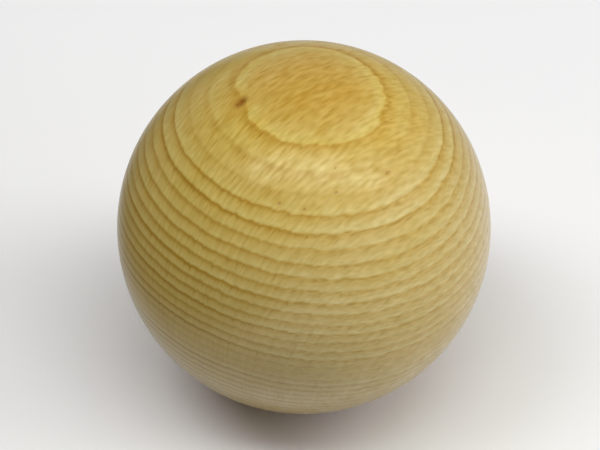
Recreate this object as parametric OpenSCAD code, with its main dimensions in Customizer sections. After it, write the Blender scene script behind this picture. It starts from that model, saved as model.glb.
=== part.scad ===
/* [Ball] */
// Diameter of the turned ball
ball_d = 80; // [25:1:200]

/* [Smoothness] */
// Flats round the equator in the preview
curve_steps = 180; // [60:12:360]

/* [Hidden] */
beech_under_lacquer = [0.80, 0.66, 0.38];

// One solid ball, turned from a single block of beech.
// The origin is its centre, and +Z points up from the place it is held at.
module ball() {
    color(beech_under_lacquer)
        sphere(d = ball_d, $fn = curve_steps);
}

ball();
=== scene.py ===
"""Looks of a turned beech ball under clear satin lacquer, with its floor, lamps and camera.

The grain is one solid pattern that the ball's surface cuts through, as in the real block: growth rings lie
round a pith outside the ball, and rays stand on end from the pith to the bark. So the rings show as a
bull's-eye on top, as arcs at the end of the grain, and as broken dashes where they run out at the side.
"""

import logging
import math
from dataclasses import dataclass
from enum import Enum
from typing import Dict, Sequence, Tuple, Union

import bmesh
import bpy
from mathutils import Matrix, Vector, noise


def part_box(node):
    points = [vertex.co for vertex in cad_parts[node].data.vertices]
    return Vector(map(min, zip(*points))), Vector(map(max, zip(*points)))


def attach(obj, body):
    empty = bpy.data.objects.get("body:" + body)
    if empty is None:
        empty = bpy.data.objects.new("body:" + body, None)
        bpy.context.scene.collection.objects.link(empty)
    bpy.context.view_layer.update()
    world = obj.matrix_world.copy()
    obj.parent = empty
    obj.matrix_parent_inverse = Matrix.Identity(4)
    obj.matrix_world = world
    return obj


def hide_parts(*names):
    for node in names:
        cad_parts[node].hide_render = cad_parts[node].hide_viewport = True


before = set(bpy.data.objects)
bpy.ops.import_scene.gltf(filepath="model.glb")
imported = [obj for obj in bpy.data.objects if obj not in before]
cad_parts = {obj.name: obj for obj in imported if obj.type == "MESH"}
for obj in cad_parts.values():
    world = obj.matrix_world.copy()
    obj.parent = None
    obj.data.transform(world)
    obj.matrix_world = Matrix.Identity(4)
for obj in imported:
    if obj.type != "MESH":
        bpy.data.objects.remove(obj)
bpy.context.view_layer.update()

LOG = logging.getLogger("wooden_ball")
MM = 0.001
BALL_NODE = "ball"
BALL_BODY = "root"

HALF = 0.5
SQUARE_CORNERS = 4

Colour = Tuple[float, float, float]
Lengths = Tuple[float, float, float]
Span = Tuple[float, float]
Stops = Tuple[Tuple[float, float], ...]
Socket = bpy.types.NodeSocket
Outputs = bpy.types.NodeOutputs
Term = Union[float, Socket]


# ---------------------------------------------------------------- node helpers


class Nodes:
    """Adds shader nodes to one tree and joins them."""

    def __init__(self, tree: bpy.types.NodeTree) -> None:
        """Keep the tree that the nodes go into."""
        self.tree = tree

    def add(self, kind: str, **settings: object) -> bpy.types.Node:
        """Add one node.

        Args:
            kind: the node's Blender type.
            settings: the node's own properties and their values.

        Returns:
            The new node.
        """
        node = self.tree.nodes.new(kind)
        for name, value in settings.items():
            setattr(node, name, value)
        return node

    def feed(self, socket: Socket, term: object) -> None:
        """Link a socket to another, or set its plain value.

        Args:
            socket: the input to fill.
            term: an output socket, or a plain value.
        """
        if isinstance(term, Socket):
            self.tree.links.new(term, socket)
        else:
            socket.default_value = term

    def math(self, operation: str, *terms: Term, clamp: bool = False) -> Socket:
        """Work out one number.

        Args:
            operation: the Math node's operation.
            terms: its inputs, in order.
            clamp: whether the result is kept from 0 to 1.

        Returns:
            The result's socket.
        """
        node = self.add("ShaderNodeMath", operation=operation, use_clamp=clamp)
        for socket, term in zip(node.inputs, terms):
            self.feed(socket, term)
        return node.outputs[0]

    def total(self, terms: Sequence[Term]) -> Socket:
        """Add up several numbers.

        Args:
            terms: two or more numbers or sockets.

        Returns:
            The sum's socket.
        """
        result = terms[0]
        for term in terms[1:]:
            result = self.math("ADD", result, term)
        return result

    def vector(self, operation: str, *terms: object) -> bpy.types.Node:
        """Work out one vector.

        Args:
            operation: the Vector Math node's operation.
            terms: its inputs, in order.

        Returns:
            The node, whose outputs are Vector and Value.
        """
        node = self.add("ShaderNodeVectorMath", operation=operation)
        for socket, term in zip(node.inputs, terms):
            self.feed(socket, term)
        return node

    def stretched(self, vector: Socket, lengths: Sequence[float]) -> Socket:
        """Divide a place by a length along each axis, to give a pattern of size 1 those lengths.

        Args:
            vector: the place.
            lengths: the length along each axis, in the place's own units.

        Returns:
            The stretched place's socket.
        """
        return self.vector("DIVIDE", vector, tuple(lengths)).outputs["Vector"]

    def parts(self, vector: Socket) -> Outputs:
        """Split a place into its three numbers.

        Args:
            vector: the place.

        Returns:
            The outputs X, Y and Z.
        """
        node = self.add("ShaderNodeSeparateXYZ")
        self.feed(node.inputs[0], vector)
        return node.outputs

    def noise(self, vector: Socket, detail: float = 2.0, roughness: float = 0.5) -> bpy.types.Node:
        """Add a noise whose blobs are about 1 across.

        Args:
            vector: the place, already stretched.
            detail: how many finer layers it has.
            roughness: how strong those layers are.

        Returns:
            The node, whose outputs are Fac and Color.
        """
        node = self.add("ShaderNodeTexNoise", noise_dimensions="3D")
        self.feed(node.inputs["Vector"], vector)
        node.inputs["Scale"].default_value = 1.0
        node.inputs["Detail"].default_value = detail
        node.inputs["Roughness"].default_value = roughness
        return node

    def swing(self, value: Term, reach: Term) -> Socket:
        """Turn a noise value from 0 to 1 into one that swings about 0, to reach on either side.

        Args:
            value: the noise value.
            reach: how far it swings.

        Returns:
            The swinging value's socket.
        """
        centred = self.math("MULTIPLY_ADD", value, 2.0, -1.0)
        return self.math("MULTIPLY", centred, reach)

    def fade(self, value: Term, start: Term, end: Term) -> Socket:
        """Go smoothly from 0 at start to 1 at end.

        Args:
            value: the number that is read.
            start: where the result is 0.
            end: where the result is 1; it may be below start.

        Returns:
            The result's socket.
        """
        node = self.add("ShaderNodeMapRange", interpolation_type="SMOOTHSTEP")
        for name, term in (("Value", value), ("From Min", start), ("From Max", end)):
            self.feed(node.inputs[name], term)
        return node.outputs["Result"]

    def curve(self, value: Term, stops: Stops) -> Socket:
        """Read a value off a curve through a few stops.

        Args:
            value: the number that is read, from 0 to 1.
            stops: pairs of place and height.

        Returns:
            The height's socket.
        """
        ramp = self.add("ShaderNodeValToRGB")
        elements = ramp.color_ramp.elements
        while len(elements) < len(stops):
            elements.new(1.0)
        for element, (place, height) in zip(elements, stops):
            element.position = place
            element.color = (height, height, height, 1.0)
        self.feed(ramp.inputs["Fac"], value)
        return ramp.outputs["Color"]

    def blend(self, share: Term, first: object, second: object, mode: str = "MIX") -> Socket:
        """Blend two colours.

        Args:
            share: how much of the second is used.
            first: a colour or its socket.
            second: a colour or its socket.
            mode: the Mix node's blend type.

        Returns:
            The blended colour's socket.
        """
        node = self.add("ShaderNodeMix", data_type="RGBA", blend_type=mode)
        self.feed(node.inputs["Factor"], share)
        for socket, colour in ((node.inputs["A"], first), (node.inputs["B"], second)):
            plain = colour if isinstance(colour, Socket) else (*colour, 1.0)
            self.feed(socket, plain)
        return node.outputs["Result"]

    def tint(self, share: Term, colour: object, tint: object) -> Socket:
        """Multiply a colour by a tint, as far as share says."""
        return self.blend(share, colour, tint, mode="MULTIPLY")


class SocketKind(Enum):
    """The kinds of socket that an effect's group has."""

    NUMBER = "NodeSocketFloat"
    PLACE = "NodeSocketVector"


class Effect:
    """A shader node group with named inputs and outputs, built once and placed where it is wanted."""

    title = "effect"
    inputs: Dict[str, SocketKind] = {}
    outputs: Dict[str, SocketKind] = {}

    def tree(self) -> bpy.types.NodeTree:
        """Find the group, or build it the first time.

        Returns:
            The group's node tree.
        """
        made = bpy.data.node_groups.get(self.title)
        if made is not None:
            return made
        made = bpy.data.node_groups.new(self.title, "ShaderNodeTree")
        for name, kind in self.inputs.items():
            made.interface.new_socket(name=name, in_out="INPUT", socket_type=kind.value)
        for name, kind in self.outputs.items():
            made.interface.new_socket(name=name, in_out="OUTPUT", socket_type=kind.value)
        nodes = Nodes(made)
        entry = nodes.add("NodeGroupInput")
        results = self.build(nodes, entry.outputs)
        leave = nodes.add("NodeGroupOutput")
        for name, result in results.items():
            nodes.feed(leave.inputs[name], result)
        return made

    def build(self, nodes: Nodes, given: Outputs) -> Dict[str, Socket]:
        """Fill the group; each effect has its own.

        Args:
            nodes: the group's node helper.
            given: the group's inputs, by name.

        Returns:
            The group's outputs, by name.
        """
        raise NotImplementedError

    def place(self, nodes: Nodes, **terms: object) -> Outputs:
        """Put the group into a tree.

        Args:
            nodes: the helper of the tree that it goes into.
            terms: a value or socket for each input, by name.

        Returns:
            The placed group's outputs, by name.
        """
        node = nodes.add("ShaderNodeGroup")
        node.node_tree = self.tree()
        node.label = self.title
        for name, term in terms.items():
            nodes.feed(node.inputs[name], term)
        return node.outputs


# ---------------------------------------------------------------- the wood


@dataclass(frozen=True)
class Spot:
    """A place on the ball, by its bearing round +Z from +X and its height above the middle."""

    bearing: float
    height: float

    def direction(self) -> Vector:
        """Return the unit vector from the ball's centre to the place."""
        turn, rise = math.radians(self.bearing), math.radians(self.height)
        return Vector((math.cos(turn) * math.cos(rise), math.sin(turn) * math.cos(rise), math.sin(rise)))


@dataclass(frozen=True)
class TreeShape:
    """How the ball lies in the trunk that it was turned from. Lengths are in millimetres.

    The wood's own axes are along the grain, across it, and up towards the bark.
    """

    grain_bearing: float = 41.5  # the grain's bearing round +Z, in degrees
    pith_depth: float = 100.0  # from the ball's centre down to the trunk's pith
    taper: float = 0.045  # rise of a ring for each millimetre along the grain
    bow: float = 0.0022  # bend of the rings along the grain
    skew: float = 0.0004  # twist of the rings between along and across
    lean_along: float = -0.00065  # change of the taper towards the bark
    lean_across: float = -0.00065  # change of the ring's slope across, towards the bark
    flattening: float = 0.0019  # how much less the rings curve towards the bark

    def coordinates(self, nodes: Nodes, place: Socket) -> Socket:
        """Turn a place in metres into millimetres along the grain, across it and towards the bark.

        Args:
            nodes: the helper of the tree that asks.
            place: the place in the ball's own frame.

        Returns:
            The place's socket in the wood's axes.
        """
        mapping = nodes.add("ShaderNodeMapping", vector_type="POINT")
        nodes.feed(mapping.inputs["Vector"], place)
        mapping.inputs["Rotation"].default_value = (0.0, 0.0, -math.radians(self.grain_bearing))
        mapping.inputs["Scale"].default_value = (1 / MM, 1 / MM, 1 / MM)
        return mapping.outputs["Vector"]

    def point(self, spot: Spot, radius: float) -> Vector:
        """Give a surface place in the wood's axes.

        Args:
            spot: the place on the ball.
            radius: the ball's radius in millimetres.

        Returns:
            The place along the grain, across it and towards the bark, in millimetres.
        """
        place = spot.direction() * radius
        turn = -math.radians(self.grain_bearing)
        along = place.x * math.cos(turn) - place.y * math.sin(turn)
        across = place.x * math.sin(turn) + place.y * math.cos(turn)
        return Vector((along, across, place.z))


@dataclass(frozen=True)
class GrainAxes(Effect):
    """Where a place lies in the trunk: how far it is from the pith, and at which ray."""

    shape: TreeShape
    knot: Vector
    knot_reach: float = 7.0  # how far from the knot's line the rings bend, and how much
    knot_bulge: float = 0.5
    wander: float = 0.3  # how far the rings stray, and over what lengths
    wander_lengths: Lengths = (24.0, 13.0, 10.0)
    inner_ripple: float = 0.36  # how far they ripple, near the pith and near the bark
    outer_ripple: float = 0.42
    outer_rings: Span = (22.0, 40.0)  # the rings over which the ripple grows
    calm_share: float = 0.4  # of the ripple on the calm side of the trunk
    calm_from: float = 8.0  # across the grain
    rough_from: float = -16.0
    ripple_lengths: Lengths = (5.0, 1.3, 10.0)

    title = "grain axes"
    inputs = {"Place": SocketKind.PLACE}
    outputs = {
        "Rings": SocketKind.NUMBER,
        "Fan": SocketKind.PLACE,
        "End": SocketKind.NUMBER,
        "Side": SocketKind.NUMBER,
    }

    def build(self, nodes: Nodes, given: Outputs) -> Dict[str, Socket]:
        """Work out the distance to the pith and the place among the rays.

        Args:
            nodes: the group's node helper.
            given: Place, in the wood's axes.

        Returns:
            Rings, the distance from the ring level with the ball's centre; Fan, the distances along the
            grain, round the trunk and from the pith; End, how far the surface cuts across the grain; and
            Side, how far it lies along the rays.
        """
        shape = self.shape
        along, across, up = nodes.parts(given["Place"])
        from_pith = nodes.math("ADD", up, shape.pith_depth)
        radius = nodes.math("POWER", nodes.total([
            nodes.math("MULTIPLY", from_pith, from_pith),
            nodes.math("MULTIPLY", across, across),
        ]), HALF)
        turn = nodes.math("ARCTAN2", across, from_pith)
        round_trunk = nodes.math("MULTIPLY", turn, shape.pith_depth)
        slope_along = nodes.total([
            shape.taper,
            nodes.math("MULTIPLY", along, shape.bow),
            nodes.math("MULTIPLY", across, shape.skew),
            nodes.math("MULTIPLY", up, shape.lean_along),
        ])
        slope_up = nodes.total([
            nodes.math("MULTIPLY", across, shape.lean_across),
            nodes.math("MULTIPLY", up, shape.flattening),
        ])
        drift = nodes.noise(nodes.stretched(given["Place"], self.wander_lengths), detail=1.0)
        smooth = nodes.total([
            nodes.math("SUBTRACT", radius, shape.pith_depth),
            nodes.math("MULTIPLY", along, slope_along),
            nodes.math("MULTIPLY", up, slope_up),
            nodes.swing(drift.outputs["Fac"], self.wander),
            self._bulge(nodes, given["Place"]),
        ])
        fan = nodes.add("ShaderNodeCombineXYZ")
        for socket, term in zip(fan.inputs, (along, round_trunk, smooth)):
            nodes.feed(socket, term)
        jitter = nodes.noise(nodes.stretched(fan.outputs[0], self.ripple_lengths), detail=1.0)
        outer = nodes.fade(smooth, *self.outer_rings)
        ripple = nodes.math("MULTIPLY_ADD", outer, self.outer_ripple - self.inner_ripple, self.inner_ripple)
        rough = nodes.fade(across, self.calm_from, self.rough_from)
        share = nodes.math("MULTIPLY_ADD", rough, 1.0 - self.calm_share, self.calm_share)
        ripple = nodes.math("MULTIPLY", ripple, share)
        rings = nodes.math("ADD", smooth, nodes.swing(jitter.outputs["Fac"], ripple))
        outward = nodes.vector("NORMALIZE", given["Place"]).outputs["Vector"]
        facing = nodes.parts(nodes.vector("MULTIPLY", outward, outward).outputs["Vector"])
        return {
            "Rings": rings,
            "Fan": fan.outputs[0],
            "End": facing["X"],
            "Side": facing["Y"],
        }

    def _bulge(self, nodes: Nodes, place: Socket) -> Socket:
        """Bend the rings out towards the bark round the line of the pin knot.

        Args:
            nodes: the group's node helper.
            place: the place in the wood's axes.

        Returns:
            The bend, in millimetres, less than nothing where the rings stand further out.
        """
        line = Vector((0.0, self.knot.y, self.knot.z + self.shape.pith_depth)).normalized()
        offset = nodes.vector("SUBTRACT", place, tuple(self.knot)).outputs["Vector"]
        across_line = nodes.vector("CROSS_PRODUCT", offset, tuple(line)).outputs["Vector"]
        away = nodes.vector("LENGTH", across_line).outputs["Value"]
        return nodes.math("MULTIPLY", nodes.fade(away, self.knot_reach, 0.0), -self.knot_bulge)


@dataclass(frozen=True)
class GrowthRings(Effect):
    """The years of the trunk: a thin dark line where each year's growth ends, pale wood after it."""

    newest: float = 42.4  # the bark, on the same scale as Rings
    years_per_mm: float = 0.373
    slowing: float = 0.0011  # more years to the millimetre, the deeper they lie
    first_year: float = -0.14
    last_day: float = -0.03  # the trunk grew no further than this
    seed: float = 17263.0  # picks the run of strong and weak years
    weakest: float = 0.1  # the boldness of a year's line, and how much bolder the boldest is
    strength_range: float = 1.15
    newest_line: float = -0.05  # added to the newest year's boldness
    newest_late: float = 0.5  # added to the newest year's late wood
    least_late: float = 0.15  # the late wood that every year has
    outermost_line: float = 1.2  # no line shows nearer the bark than this depth
    line_edge: float = 1.0
    narrow_early: Stops = ((0.0, 0.15), (0.07, 0.75), (0.13, 1.0), (0.22, 0.75), (0.36, 0.25), (0.62, 0.0))
    wide_early: Stops = ((0.0, 0.1), (0.07, 0.6), (0.15, 1.0), (0.27, 0.75), (0.46, 0.3), (0.7, 0.0))
    late_stops: Stops = ((0.0, 0.55), (0.07, 0.15), (0.14, 0.0), (0.5, 0.0), (0.78, 0.6), (0.9, 1.0),
                         (0.96, 0.9), (1.0, 0.55))
    thin_line: Stops = ((0.0, 0.55), (0.06, 0.2), (0.13, 0.0), (0.7, 0.0), (0.82, 0.4), (0.91, 0.95),
                        (0.96, 0.85), (1.0, 0.55))
    thick_line: Stops = ((0.0, 0.72), (0.08, 0.35), (0.19, 0.0), (0.55, 0.0), (0.7, 0.28), (0.82, 0.7),
                         (0.91, 0.97), (0.96, 0.95), (1.0, 0.72))
    newest_year: float = 4.0  # this and the next two are depths from the bark
    thin_until: float = 9.0
    thick_from: float = 26.0

    title = "growth rings"
    inputs = {"Rings": SocketKind.NUMBER}
    outputs = {"Early": SocketKind.NUMBER, "Late": SocketKind.NUMBER, "Line": SocketKind.NUMBER}

    def build(self, nodes: Nodes, given: Outputs) -> Dict[str, Socket]:
        """Count the years in from the bark and shade each one.

        Args:
            nodes: the group's node helper.
            given: Rings, the distance out from the pith in millimetres.

        Returns:
            Early, the year's pale first wood; Late, the darker wood after it; and Line, its dark end.
        """
        depth = nodes.math("SUBTRACT", self.newest, given["Rings"])
        rate = nodes.math("MULTIPLY_ADD", depth, self.slowing, self.years_per_mm)
        years = nodes.math("MULTIPLY", depth, rate)
        clock = nodes.math("MINIMUM", nodes.math("SUBTRACT", self.first_year, years), self.last_day)
        phase = nodes.math("FRACT", clock)
        year = nodes.math("FLOOR", clock)
        late = nodes.curve(phase, self.late_stops)
        width = nodes.fade(depth, self.thin_until, self.thick_from)
        line = nodes.blend(width, nodes.curve(phase, self.thin_line), nodes.curve(phase, self.thick_line))
        narrow = nodes.curve(phase, self.narrow_early)
        wide = nodes.curve(phase, self.wide_early)
        early = nodes.blend(nodes.fade(depth, self.newest_year, self.thin_until), narrow, wide)
        newest = nodes.fade(depth, self.newest_year, self.newest_year / 2)
        seen = nodes.fade(depth, self.outermost_line, self.outermost_line + self.line_edge)
        strength = nodes.math("MULTIPLY_ADD", newest, self.newest_line, self._strength(nodes, year))
        year_before = nodes.math("SUBTRACT", year, 1.0)
        early_strength = nodes.math("ADD", self._strength(nodes, year_before), newest)
        late_strength = nodes.total([
            self.least_late, strength, nodes.math("MULTIPLY", newest, self.newest_late),
        ])
        return {
            "Early": nodes.math("MULTIPLY", early, early_strength, clamp=True),
            "Late": nodes.math("MULTIPLY", late, late_strength, clamp=True),
            "Line": nodes.math("MULTIPLY", line, nodes.math("MULTIPLY", seen, strength)),
        }

    def _strength(self, nodes: Nodes, year: Socket) -> Socket:
        """Pick how bold the line at the end of a year is.

        Args:
            nodes: the group's node helper.
            year: the year's number.

        Returns:
            The line's strength.
        """
        chance = nodes.add("ShaderNodeTexWhiteNoise", noise_dimensions="1D")
        nodes.feed(chance.inputs["W"], nodes.math("ADD", year, self.seed))
        return nodes.math("MULTIPLY_ADD", chance.outputs["Value"], self.strength_range, self.weakest)


@dataclass(frozen=True)
class Rays(Effect):
    """The rays that stand from pith to bark: thin blades, a few millimetres tall along the grain."""

    spacing: Lengths = (3.0, 0.85, 12.0)
    half_size: Lengths = (1.35, 0.19, 6.0)
    smallest: float = 0.6  # of the half size, and how much more the largest has
    size_range: float = 0.8
    core: float = 0.2  # of a ray's own size; inside it the ray shows in full
    faintest: float = 0.4  # how much the faintest ray shows, and how much more the boldest does
    boldness_range: float = 0.6
    fine_lengths: Lengths = (2.4, 0.55, 4.0)
    fine_detail: float = 0.2
    fine_roughness: float = 0.6

    title = "rays"
    inputs = {"Fan": SocketKind.PLACE}
    outputs = {"Broad": SocketKind.NUMBER, "Fine": SocketKind.NUMBER}

    def build(self, nodes: Nodes, given: Outputs) -> Dict[str, Socket]:
        """Scatter the broad rays one to a cell, and lay the fine ones as stretched noise.

        Args:
            nodes: the group's node helper.
            given: Fan, the place along the grain, round the trunk and from the pith.

        Returns:
            Broad, how much of a broad ray shows, and Fine, a swing about 0 for the fine ones.
        """
        cells = nodes.add("ShaderNodeTexVoronoi", voronoi_dimensions="3D", feature="F1")
        place = nodes.stretched(given["Fan"], self.spacing)
        nodes.feed(cells.inputs["Vector"], place)
        cells.inputs["Scale"].default_value = 1.0
        cells.inputs["Randomness"].default_value = 1.0
        offset = nodes.vector("SUBTRACT", place, cells.outputs["Position"]).outputs["Vector"]
        ratio = tuple(gap / half for gap, half in zip(self.spacing, self.half_size))
        scaled = nodes.vector("MULTIPLY", offset, ratio).outputs["Vector"]
        away = nodes.vector("LENGTH", scaled).outputs["Value"]
        chance = nodes.add("ShaderNodeSeparateColor")
        nodes.feed(chance.inputs[0], cells.outputs["Color"])
        size = nodes.math("MULTIPLY_ADD", chance.outputs[0], self.size_range, self.smallest)
        shown = nodes.fade(away, size, nodes.math("MULTIPLY", size, self.core))
        boldness = nodes.math("MULTIPLY_ADD", chance.outputs[1], self.boldness_range, self.faintest)
        streaks = nodes.stretched(given["Fan"], self.fine_lengths)
        fine = nodes.noise(streaks, detail=self.fine_detail, roughness=self.fine_roughness)
        return {
            "Broad": nodes.math("MULTIPLY", shown, boldness),
            "Fine": nodes.swing(fine.outputs["Fac"], 1.0),
        }


@dataclass(frozen=True)
class Strokes(Effect):
    """Short strokes along the fibres, where the rays that a face runs along break the rings up."""

    lengths: Lengths = (1.9, 1.2, 0.5)

    title = "strokes"
    inputs = {"Place": SocketKind.PLACE}
    outputs = {"Stroke": SocketKind.NUMBER}

    def build(self, nodes: Nodes, given: Outputs) -> Dict[str, Socket]:
        """Lay a noise along the fibres.

        Args:
            nodes: the group's node helper.
            given: Place, in the wood's axes.

        Returns:
            Stroke, a swing about 0.
        """
        grain = nodes.noise(nodes.stretched(given["Place"], self.lengths), detail=0.0)
        return {"Stroke": nodes.swing(grain.outputs["Fac"], 1.0)}


@dataclass(frozen=True)
class Blemish(Effect):
    """A small dark mark with a soft, uneven edge, drawn out along the grain."""

    stretch: Lengths = (1.8, 1.0, 1.0)
    roughening: float = 0.35
    grit: float = 0.5
    core_edge: Span = (1.5, 0.2)  # in half widths: where it starts to show, and where it is full
    halo_edge: Span = (4.5, 0.6)

    title = "blemish"
    inputs = {"Place": SocketKind.PLACE, "Centre": SocketKind.PLACE, "Size": SocketKind.NUMBER}
    outputs = {"Mark": SocketKind.NUMBER, "Halo": SocketKind.NUMBER}

    def build(self, nodes: Nodes, given: Outputs) -> Dict[str, Socket]:
        """Fade the mark out over its edge, and its halo over a few times its size.

        Args:
            nodes: the group's node helper.
            given: Place and Centre in the wood's axes, and Size, the mark's half width in millimetres.

        Returns:
            Mark, the dark core, and Halo, the stain round it.
        """
        offset = nodes.vector("SUBTRACT", given["Place"], given["Centre"]).outputs["Vector"]
        scaled = nodes.stretched(offset, self.stretch)
        away = nodes.math("DIVIDE", nodes.vector("LENGTH", scaled).outputs["Value"], given["Size"])
        grit = nodes.noise(nodes.stretched(given["Place"], (self.grit, self.grit, self.grit)), detail=1.0)
        rough = nodes.math("ADD", away, nodes.swing(grit.outputs["Fac"], self.roughening))
        return {"Mark": nodes.fade(rough, *self.core_edge), "Halo": nodes.fade(away, *self.halo_edge)}


@dataclass(frozen=True)
class Mark:
    """One blemish: where it is and how wide."""

    spot: Spot
    half_width: float  # in millimetres
    darkness: float


@dataclass(frozen=True)
class ByFace:
    """A number that goes by how the surface cuts the wood."""

    top: float  # where the surface lies along the rings
    end: float  # where it cuts across the grain
    side: float  # where it lies along the rays

    def read(self, nodes: Nodes, axes: Outputs) -> Socket:
        """Work the number out at each place.

        Args:
            nodes: the material's node helper.
            axes: the grain axes group's outputs.

        Returns:
            The number's socket.
        """
        return nodes.total([
            self.top,
            nodes.math("MULTIPLY", axes["End"], self.end - self.top),
            nodes.math("MULTIPLY", axes["Side"], self.side - self.top),
        ])


@dataclass(frozen=True)
class BeechUnderLacquer:
    """Turned beech, warm and pale, under a clear satin lacquer."""

    tree_shape: TreeShape
    radius: float
    knot: Mark
    specks: Tuple[Mark, ...]
    amber: Colour = (0.64, 0.45, 0.09)  # faces along the rings
    pale: Colour = (0.645, 0.478, 0.152)  # faces along the rays
    end_grain: Colour = (0.93, 0.93, 1.12)  # this and the next tints multiply the wood's colour
    newest: Colour = (0.93, 0.885, 0.91)
    patch: Colour = (0.97, 0.91, 0.72)
    early: Colour = (1.08, 1.18, 1.44)
    late: Colour = (0.92, 0.83, 0.62)
    line: Colour = (0.73, 0.63, 0.31)
    ray: Colour = (0.68, 0.57, 0.38)
    fine_dark: Colour = (0.84, 0.79, 0.62)
    fine_bright: Colour = (1.16, 1.21, 1.38)
    stain: Colour = (0.56, 0.33, 0.045)
    bark: Colour = (0.28, 0.105, 0.003)
    pale_gain: float = 1.9  # how soon a face turns pale as it comes to lie along the rays
    newest_rings: Span = (40.1, 41.0)
    cloud_lengths: Lengths = (9.0, 4.0, 6.0)
    cloud_edge: Span = (0.45, 0.7)
    patch_share: ByFace = ByFace(1.0, 0.1, 0.1)
    late_share: ByFace = ByFace(1.0, 0.55, 0.5)
    line_share: ByFace = ByFace(0.8, 1.05, 0.35)
    broken_face: Span = (0.15, 0.6)  # how far along the rays a face lies before its lines break up
    broken_stroke: Span = (0.18, -0.2)  # the strokes that cut a line, and those that leave it whole
    faint_across: Span = (-4.0, -24.0)  # across the grain, over which the lines grow fainter
    faintness: float = 0.3
    ray_share: ByFace = ByFace(0.85, 0.55, 0.4)
    ray_in_early: float = 0.35  # how much of a broad ray shows in early wood, and what late wood adds
    ray_in_late: float = 0.4
    ray_dip: float = 0.28  # how far, in millimetres, a ray holds the rings back from the bark
    fine_share: ByFace = ByFace(0.88, 0.3, 0.15)
    newest_calm: float = 0.1  # how much weaker the fine rays are in the newest wood
    stroke_share: float = 0.48
    halo_share: float = 0.7
    wood_roughness: float = 0.3  # of the wood under the lacquer, and what a broad ray adds
    ray_roughness: float = 0.05
    wood_gloss: float = 0.2
    lacquer: float = 0.45  # the lacquer's weight, and how far a fine ray changes it
    lacquer_swing: ByFace = ByFace(0.9, 0.15, 0.3)
    lacquer_roughness: float = 0.16
    relief: float = 0.00001  # height of the raised grain, in metres
    line_height: float = 0.4  # this and the next two are shares of the relief
    fine_height: float = 0.5
    ray_height: float = -0.4

    def material(self) -> bpy.types.Material:
        """Build the material.

        Returns:
            The finished material.
        """
        made = bpy.data.materials.new("beech_under_lacquer")
        made.use_nodes = True
        nodes = Nodes(made.node_tree)
        made.node_tree.nodes.clear()
        place = nodes.add("ShaderNodeTexCoord").outputs["Object"]
        wood = self.tree_shape.coordinates(nodes, place)
        knot = self.tree_shape.point(self.knot.spot, self.radius / MM)
        axes = GrainAxes(self.tree_shape, knot).place(nodes, Place=wood)
        rays = Rays().place(nodes, Fan=axes["Fan"])
        dipped = nodes.math("MULTIPLY_ADD", rays["Broad"], self.ray_dip, axes["Rings"])
        rings = GrowthRings().place(nodes, Rings=dipped)
        strokes = Strokes().place(nodes, Place=wood)
        colour = self._wood_colour(nodes, wood, axes, rings, rays, strokes["Stroke"])
        colour = self._marked(nodes, wood, colour)
        shader = nodes.add("ShaderNodeBsdfPrincipled")
        nodes.feed(shader.inputs["Base Color"], colour)
        roughness = nodes.math("MULTIPLY_ADD", rays["Broad"], self.ray_roughness, self.wood_roughness)
        nodes.feed(shader.inputs["Roughness"], roughness)
        shader.inputs["Specular IOR Level"].default_value = self.wood_gloss
        swing = nodes.math("MULTIPLY", rays["Fine"], self.lacquer_swing.read(nodes, axes))
        lacquer = nodes.math("ADD", swing, self.lacquer, clamp=True)
        nodes.feed(shader.inputs["Coat Weight"], lacquer)
        shader.inputs["Coat Roughness"].default_value = self.lacquer_roughness
        bump = nodes.add("ShaderNodeBump")
        bump.inputs["Distance"].default_value = self.relief
        nodes.feed(bump.inputs["Height"], self._raised_grain(nodes, rings, rays))
        nodes.feed(shader.inputs["Normal"], bump.outputs["Normal"])
        output = nodes.add("ShaderNodeOutputMaterial")
        nodes.feed(output.inputs["Surface"], shader.outputs["BSDF"])
        return made

    def _wood_colour(self, nodes: Nodes, wood: Socket, axes: Outputs, rings: Outputs, rays: Outputs,
                     stroke: Socket) -> Socket:
        """Mix the wood's colour from its rings and rays.

        Args:
            nodes: the material's node helper.
            wood: the place in the wood's axes.
            axes: the grain axes group's outputs.
            rings: the growth rings group's outputs.
            rays: the rays group's outputs.
            stroke: the strokes group's output.

        Returns:
            The colour's socket.
        """
        paleness = nodes.math("MULTIPLY", axes["Side"], self.pale_gain, clamp=True)
        body = nodes.blend(paleness, self.amber, self.pale)
        body = nodes.tint(axes["End"], body, self.end_grain)
        outermost = nodes.fade(axes["Rings"], *self.newest_rings)
        body = nodes.tint(outermost, body, self.newest)
        cloud = nodes.noise(nodes.stretched(wood, self.cloud_lengths)).outputs["Fac"]
        cloudy = nodes.fade(cloud, *self.cloud_edge)
        patches = nodes.math("MULTIPLY", cloudy, self.patch_share.read(nodes, axes))
        body = nodes.tint(patches, body, self.patch)
        body = nodes.tint(rings["Early"], body, self.early)
        late = nodes.math("MULTIPLY", rings["Late"], self.late_share.read(nodes, axes))
        body = nodes.tint(late, body, self.late)
        line = nodes.math("MULTIPLY", rings["Line"], self._boldness(nodes, wood, axes, stroke), clamp=True)
        body = nodes.tint(line, body, self.line)
        shown = nodes.math("MULTIPLY_ADD", rings["Late"], self.ray_in_late, self.ray_in_early)
        shown = nodes.math("MULTIPLY", shown, self.ray_share.read(nodes, axes))
        body = nodes.tint(nodes.math("MULTIPLY", rays["Broad"], shown, clamp=True), body, self.ray)
        streak = nodes.math("MULTIPLY", rays["Fine"], self.fine_share.read(nodes, axes))
        calm = nodes.math("MULTIPLY_ADD", outermost, -self.newest_calm, 1.0)
        streak = nodes.math("MULTIPLY", streak, calm)
        along_side = nodes.math("MULTIPLY", stroke, nodes.math("MULTIPLY", axes["Side"], self.stroke_share))
        fine = nodes.blend(nodes.total([streak, along_side, HALF]), self.fine_dark, self.fine_bright)
        return nodes.tint(1.0, body, fine)

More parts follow.
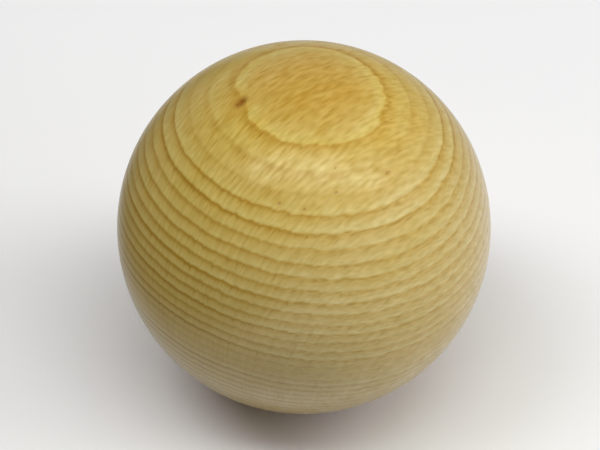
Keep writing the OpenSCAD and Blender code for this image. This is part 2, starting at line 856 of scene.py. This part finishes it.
    def _boldness(self, nodes: Nodes, wood: Socket, axes: Outputs, stroke: Socket) -> Socket:
        """Say how boldly the rings' lines show: strokes break them up where a face lies along the rays.

        Args:
            nodes: the material's node helper.
            wood: the place in the wood's axes.
            axes: the grain axes group's outputs.
            stroke: the strokes group's output.

        Returns:
            The boldness's socket.
        """
        along_rays = nodes.fade(axes["Side"], *self.broken_face)
        broken = nodes.blend(along_rays, (1.0, 1.0, 1.0), nodes.fade(stroke, *self.broken_stroke))
        boldness = nodes.math("MULTIPLY", self.line_share.read(nodes, axes), broken)
        weaker = nodes.fade(nodes.parts(wood)["Y"], *self.faint_across)
        return nodes.math("MULTIPLY", boldness, nodes.math("MULTIPLY_ADD", weaker, -self.faintness, 1.0))

    def _raised_grain(self, nodes: Nodes, rings: Outputs, rays: Outputs) -> Socket:
        """Let the hard late wood stand a little proud and the rays lie a little low.

        Args:
            nodes: the material's node helper.
            rings: the growth rings group's outputs.
            rays: the rays group's outputs.

        Returns:
            The height's socket, of about 1 from lowest to highest.
        """
        return nodes.total([
            nodes.math("MULTIPLY", rings["Line"], self.line_height),
            nodes.math("MULTIPLY", rays["Fine"], self.fine_height),
            nodes.math("MULTIPLY", rays["Broad"], self.ray_height),
        ])

    def _marked(self, nodes: Nodes, wood: Socket, colour: Socket) -> Socket:
        """Put the pin knot and the specks on the wood.

        Args:
            nodes: the material's node helper.
            wood: the place in the wood's axes.
            colour: the clear wood's colour.

        Returns:
            The marked colour's socket.
        """
        effect = Blemish()
        for mark in (self.knot, *self.specks):
            centre = self.tree_shape.point(mark.spot, self.radius / MM)
            made = effect.place(nodes, Place=wood, Centre=tuple(centre), Size=mark.half_width)
            halo = nodes.math("MULTIPLY", made["Halo"], self.halo_share * mark.darkness)
            colour = nodes.blend(halo, colour, self.stain)
            colour = nodes.blend(nodes.math("MULTIPLY", made["Mark"], mark.darkness), colour, self.bark)
        return colour


# ---------------------------------------------------------------- the ball


@dataclass
class TurnedBall:
    """The ball: one turned solid, as the lathe and the lacquer left it."""

    node: str
    radius: float
    marks: Tuple[Mark, ...]
    cuts: int = 119  # in each edge of the cube that it starts from
    mark_cuts: int = 4  # in each square round a mark
    mark_reach: float = 2.5  # half widths round a mark that get finer squares, and metres more
    mark_margin: float = 0.0008
    wave_height: float = 0.000016  # in metres, as is the next
    wave_length: float = 0.008
    pit_depth: float = 0.18  # of the mark's half width

    def build(self) -> bpy.types.Object:
        """Shape the ball and put it in place of its CAD node.

        Returns:
            The ball's object.
        """
        mesh = bpy.data.meshes.new("turned_ball")
        shell = bmesh.new()
        self._divide(shell)
        self._round(shell)
        self._wear(shell)
        shell.to_mesh(mesh)
        shell.free()
        for face in mesh.polygons:
            face.use_smooth = True
        piece = bpy.data.objects.new("turned_ball", mesh)
        bpy.context.scene.collection.objects.link(piece)
        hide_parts(self.node)
        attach(piece, BALL_BODY)
        return piece

    def dress(self, piece: bpy.types.Object, finish: BeechUnderLacquer) -> None:
        """Give the ball its finish.

        Args:
            piece: the ball's object.
            finish: the wood and lacquer.
        """
        piece.data.materials.append(finish.material())

    def _divide(self, shell: bmesh.types.BMesh) -> None:
        """Start from a finely divided cube, with finer squares where the marks will be.

        Args:
            shell: the empty mesh to fill.
        """
        bmesh.ops.create_cube(shell, size=2.0)
        bmesh.ops.subdivide_edges(shell, edges=shell.edges[:], cuts=self.cuts, use_grid_fill=True)
        for mark in self.marks:
            centre = mark.spot.direction()
            reach = (self.mark_reach * mark.half_width * MM + self.mark_margin) / self.radius
            near = [
                face for face in shell.faces
                if (self._onto_sphere(face.calc_center_median()) - centre).length < reach
            ]
            shell.edges.index_update()
            edges = sorted({edge for face in near for edge in face.edges}, key=lambda edge: edge.index)
            bmesh.ops.subdivide_edges(shell, edges=edges, cuts=self.mark_cuts, use_grid_fill=True)

    def _round(self, shell: bmesh.types.BMesh) -> None:
        """Round the cube into the ball, and cut up the many-sided faces round the finer squares.

        Args:
            shell: the divided cube.
        """
        for vertex in shell.verts:
            vertex.co = self._onto_sphere(vertex.co) * self.radius
        many_sided = [face for face in shell.faces if len(face.verts) > SQUARE_CORNERS]
        bmesh.ops.triangulate(shell, faces=many_sided, quad_method="BEAUTY", ngon_method="BEAUTY")

    @staticmethod
    def _onto_sphere(place: Vector) -> Vector:
        """Send a place on the cube to the unit sphere, so that squares keep near one size."""
        return Vector(math.tan(part * math.pi / 4) for part in place).normalized()

    def _wear(self, shell: bmesh.types.BMesh) -> None:
        """Sink the marks, and leave the faint waves of hand sanding. Nothing stands proud of the sphere.

        Args:
            shell: the round ball.
        """
        for vertex in shell.verts:
            outward = vertex.co.normalized()
            swell = noise.noise(vertex.co / self.wave_length) * HALF + HALF
            sink = self.wave_height * min(max(swell, 0.0), 1.0)
            for mark in self.marks:
                away = (outward - mark.spot.direction()).length * self.radius / (mark.half_width * MM)
                if away < 1.0:
                    sink += self.pit_depth * mark.half_width * MM * (1.0 - away * away) ** 2
            vertex.co = outward * (self.radius - sink)


# ---------------------------------------------------------------- the studio


@dataclass(frozen=True)
class Lamp:
    """A soft rectangular lamp that faces the ball."""

    title: str
    bearing: float  # round +Z from +X, in degrees
    height: float  # above the horizon, in degrees
    distance: float
    width: float
    depth: float
    brightness: float
    across: Colour = (1.0, 0.0, 0.0)  # the way its width runs
    mirrored: bool = True  # whether the lacquer shows it
    colour: Colour = (1.0, 1.0, 1.0)

    def build(self) -> bpy.types.Object:
        """Hang the lamp, its width level.

        Returns:
            The lamp's object.
        """
        light = bpy.data.lights.new(self.title, "AREA")
        light.shape = "RECTANGLE"
        light.size, light.size_y = self.width, self.depth
        light.energy = self.brightness * math.pi * self.width * self.depth
        light.color = self.colour
        lamp = bpy.data.objects.new(self.title, light)
        back = Spot(self.bearing, self.height).direction()
        up = back.cross(Vector(self.across)).normalized()
        side = up.cross(back)
        lamp.location = back * self.distance
        lamp.rotation_euler = Matrix((side, up, back)).transposed().to_euler()
        lamp.visible_camera = False
        lamp.visible_glossy = self.mirrored
        bpy.context.scene.collection.objects.link(lamp)
        return lamp


DAYLIGHT: Colour = (0.9, 1.0, 0.78)  # from the lamps that the lacquer mirrors
ROOM_LIGHT: Colour = (1.05, 0.99, 1.09)  # from those that it doesn't, to even the first out


@dataclass
class Studio:
    """A plain pale floor, soft lamps and the camera."""

    radius: float
    elevation: float = 41.5
    lens: float = 200.0
    fill: float = 17.86  # camera's distance in ball radii
    aim: Tuple[float, float] = (-0.0214, 0.0107)  # aim right and up of the centre, in ball radii
    view_end: float = 20.0  # how far the camera sees
    floor_size: float = 6.0
    floor_roughness: float = 0.8
    floor_gloss: float = 0.2
    floor_colour: Colour = (0.97, 0.97, 0.98)
    floor_bounce: Colour = (0.47, 0.47, 0.47)  # what the ball is lit by from below
    painted_shade_left_reflection: Colour = (0.05, 0.05, 0.05)  # painted shade: the floor as the lacquer shows it, nearly black at the left and dimmer behind, while the camera sees it evenly pale
    painted_shade_back_reflection: Colour = (0.52, 0.51, 0.46)
    left_span: Span = (-0.03, -0.11)
    back_span: Span = (0.02, 0.2)
    backdrop_span: Span = (0.16, 0.8)  # from the ball's middle: the floor brightens to a white backdrop
    lamps: Tuple[Lamp, ...] = (
        Lamp("middle_window_lamp", -71.5, 72.6, 1.4, 1.0, 0.26, 3.15, colour=DAYLIGHT),
        Lamp("upper_window_lamp", -57.0, 81.2, 1.4, 1.05, 0.24, 2.0, colour=DAYLIGHT),
        Lamp("left_window_lamp", -151.6, 64.0, 1.4, 0.44, 0.39, 2.9, across=(0.92, 0.0, 0.39),
             colour=DAYLIGHT),
        Lamp("right_window_lamp", -18.1, 51.2, 1.4, 0.56, 0.34, 3.1, across=(0.8, 0.0, -0.61),
             colour=DAYLIGHT),
        Lamp("front_fill_lamp", -60.0, 74.0, 1.4, 1.0, 0.6, 2.2, mirrored=False, colour=ROOM_LIGHT),
        Lamp("left_fill_lamp", -170.0, 60.0, 1.4, 0.8, 0.5, 4.1, mirrored=False, colour=ROOM_LIGHT),
        Lamp("right_fill_lamp", -5.0, 38.0, 1.4, 0.6, 0.6, 3.0, mirrored=False, colour=ROOM_LIGHT),
        Lamp("right_low_lamp", -20.0, 24.0, 1.4, 1.8, 0.42, 2.4, across=(0.34, 0.94, 0.0), mirrored=False,
             colour=ROOM_LIGHT),
        Lamp("back_low_lamp", 100.0, 22.0, 1.4, 1.4, 0.5, 0.9, across=(-1.0, 0.0, 0.0), mirrored=False,
             colour=ROOM_LIGHT),
    )
    surroundings: float = 0.005  # the strength of the light from all round
    mirrored_wall: float = 0.24
    seen_wall: float = 1.0

    def build(self) -> None:
        """Set up the floor, the lamps, the surroundings and the camera."""
        self._floor()
        for lamp in self.lamps:
            lamp.build()
        self._surroundings()
        self._camera()
        bpy.context.scene.view_settings.view_transform = "Standard"

    @staticmethod
    def _sight(nodes: Nodes) -> Tuple[Socket, Socket]:
        """Tell how a thing is looked at.

        Args:
            nodes: the helper of the tree that asks.

        Returns:
            1 where it is seen, straight or through glass, and 1 where a glossy surface mirrors it.
        """
        rays = nodes.add("ShaderNodeLightPath").outputs
        seen = nodes.math("MAXIMUM", rays["Is Camera Ray"], rays["Is Transmission Ray"])
        return seen, rays["Is Glossy Ray"]

    def _floor(self) -> None:
        """Lay the floor just under the ball, and let it brighten to a white backdrop far from it. To glossy
        rays it is painted darker at the left and behind, as painted shade in the lacquer's reflection.
        """
        mesh = bpy.data.meshes.new("floor")
        sheet = bmesh.new()
        bmesh.ops.create_grid(sheet, x_segments=1, y_segments=1, size=self.floor_size / 2)
        bmesh.ops.translate(sheet, verts=sheet.verts[:], vec=(0.0, 0.0, -self.radius))
        sheet.to_mesh(mesh)
        sheet.free()
        floor = bpy.data.objects.new("floor", mesh)
        bpy.context.scene.collection.objects.link(floor)
        paint = bpy.data.materials.new("pale_floor")
        paint.use_nodes = True
        nodes = Nodes(paint.node_tree)
        seen, glossy = self._sight(nodes)
        place = nodes.add("ShaderNodeTexCoord").outputs["Object"]
        right, back, _ = nodes.parts(place)
        # painted shade: glossy rays see the floor dimmer behind the ball and nearly black at its left,
        # though the camera sees it evenly pale
        mirrored = nodes.blend(nodes.fade(back, *self.back_span), self.floor_colour, self.painted_shade_back_reflection)
        mirrored = nodes.blend(nodes.fade(right, *self.left_span), mirrored, self.painted_shade_left_reflection)
        unseen = nodes.blend(glossy, self.floor_bounce, mirrored)
        shader = paint.node_tree.nodes["Principled BSDF"]
        nodes.feed(shader.inputs["Base Color"], nodes.blend(seen, unseen, self.floor_colour))
        shader.inputs["Roughness"].default_value = self.floor_roughness
        shader.inputs["Specular IOR Level"].default_value = self.floor_gloss
        shader.inputs["Emission Color"].default_value = (1.0, 1.0, 1.0, 1.0)
        away = nodes.vector("LENGTH", place).outputs["Value"]
        backdrop = nodes.math("MULTIPLY", nodes.fade(away, *self.backdrop_span), seen)
        nodes.feed(shader.inputs["Emission Strength"], backdrop)
        mesh.materials.append(paint)

    def _surroundings(self) -> None:
        """Light the ball faintly from all round, show a white wall and mirror a dimmer one in it."""
        world = bpy.data.worlds.new("surroundings")
        bpy.context.scene.world = world
        world.use_nodes = True
        nodes = Nodes(world.node_tree)
        world.node_tree.nodes.clear()
        seen, glossy = self._sight(nodes)
        strength = nodes.total([
            self.surroundings,
            nodes.math("MULTIPLY", seen, self.seen_wall),
            nodes.math("MULTIPLY", glossy, self.mirrored_wall),
        ])
        background = nodes.add("ShaderNodeBackground")
        background.inputs["Color"].default_value = (1.0, 1.0, 1.0, 1.0)
        nodes.feed(background.inputs["Strength"], strength)
        output = nodes.add("ShaderNodeOutputWorld")
        nodes.feed(output.inputs["Surface"], background.outputs[0])

    def _camera(self) -> None:
        """Aim the camera down at the ball from the front."""
        rise = math.radians(self.elevation)
        back = Vector((0.0, -math.cos(rise), math.sin(rise)))
        right = Vector((1.0, 0.0, 0.0))
        up = Vector((0.0, math.sin(rise), math.cos(rise)))
        target = (right * self.aim[0] + up * self.aim[1]) * self.radius
        lens = bpy.data.cameras.new("camera")
        lens.lens = self.lens
        lens.clip_end = self.view_end
        camera = bpy.data.objects.new("camera", lens)
        camera.location = target + back * self.fill * self.radius
        camera.rotation_euler = back.to_track_quat("Z", "Y").to_euler()
        bpy.context.scene.collection.objects.link(camera)
        bpy.context.scene.camera = camera


def main() -> None:
    """Build the ball and the studio, and report each piece."""
    logging.basicConfig(level=logging.INFO, format="%(name)s: %(message)s")
    low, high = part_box(BALL_NODE)
    radius = (high.z - low.z) / 2
    knot = Mark(Spot(-164.0, 70.3), 1.05, 0.95)
    specks = (
        Mark(Spot(-100.9, 48.0), 0.3, 0.5),
        Mark(Spot(-90.0, 46.7), 0.3, 0.5),
        Mark(Spot(-72.7, 58.0), 0.2, 0.4),
        Mark(Spot(-75.2, 50.8), 0.3, 0.45),
        Mark(Spot(-47.3, 51.1), 0.42, 0.45),
    )
    ball = TurnedBall(BALL_NODE, radius, (knot, *specks))
    piece = ball.build()
    LOG.info("%s: %d faces", piece.name, len(piece.data.polygons))
    ball.dress(piece, BeechUnderLacquer(TreeShape(), radius, knot, specks))
    Studio(radius).build()
    LOG.info("floor, lamps and camera set")


if __name__ == "__main__":
    main()
